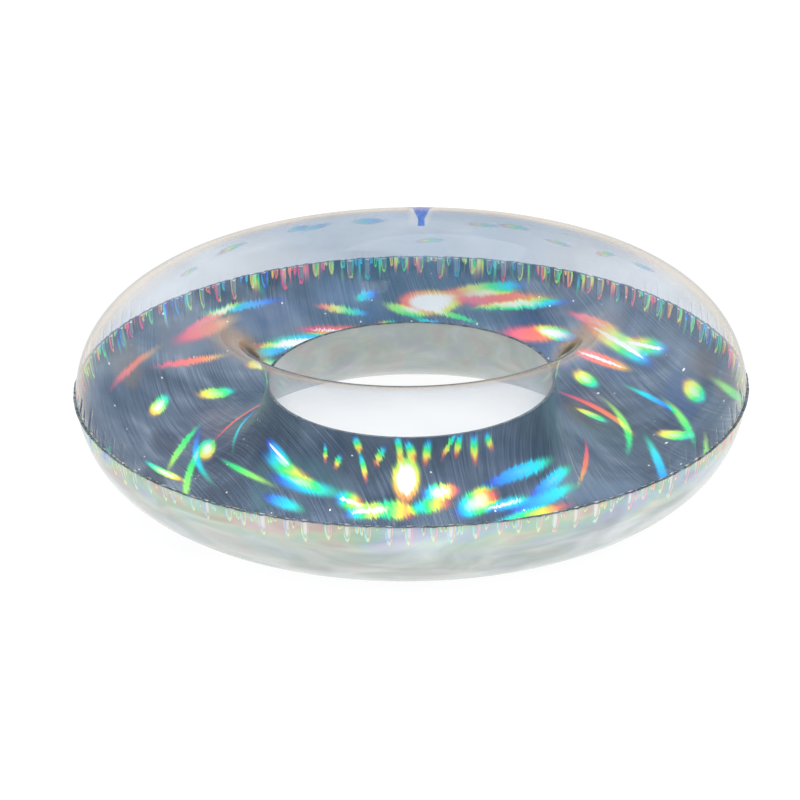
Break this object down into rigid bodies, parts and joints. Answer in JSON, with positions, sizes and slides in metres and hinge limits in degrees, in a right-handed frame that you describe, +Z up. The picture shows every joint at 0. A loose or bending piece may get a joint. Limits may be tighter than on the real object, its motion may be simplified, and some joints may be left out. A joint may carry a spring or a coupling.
{
  "type": "inflatable pool float",
  "caption": "Blown-up swim ring of two welded film sheets, clear above and silver holographic below, with a soft push-in air valve.",
  "frame": {"origin": "on the floor, at the centre of the ring", "axes": "+Z up along the ring's axis, +Y from the centre towards the air valve"},
  "size_m": [0.9579, 0.958, 0.254],
  "materials": {
    "clear_film": "clear colourless PVC film, high gloss",
    "laser_film": "mirror-silver laser-embossed PVC film that throws rainbow flecks",
    "weld": "fused film edge, glossy and rippled",
    "valve_blue": "translucent blue soft PVC moulding"
  },
  "bodies": {
    "ring": {"top_panel": "clear_film", "bottom_panel": "laser_film", "outer_weld_band": "weld", "inner_weld_band": "weld", "valve_flange": "valve_blue", "valve_bell": "valve_blue"},
    "stem": {"valve_stem": "valve_blue", "plug_tether": "valve_blue"},
    "plug": {"valve_plug": "valve_blue"},
    "flap": {"check_flap": "valve_blue"}
  },
  "joints": [
    {"name": "stem_pull_out", "type": "slide", "parent": "ring", "child": "stem", "axis": [0, 0.3746, 0.9272], "range_m": [0, 0.024], "deforming": ["valve_bell"]},
    {"name": "plug_open", "type": "hinge", "parent": "stem", "child": "plug", "pos_m": [0, 0.40063, 0.23694], "axis": [-1, 0, 0], "range_deg": [0, 100], "deforming": ["plug_tether"]},
    {"name": "flap_open", "type": "hinge", "parent": "stem", "child": "flap", "pos_m": [0, 0.38924, 0.2149], "axis": [1, 0, 0], "range_deg": [0, 50], "stiffness_Nm_per_rad": 0.0002, "springref_deg": -28.65}
  ]
}
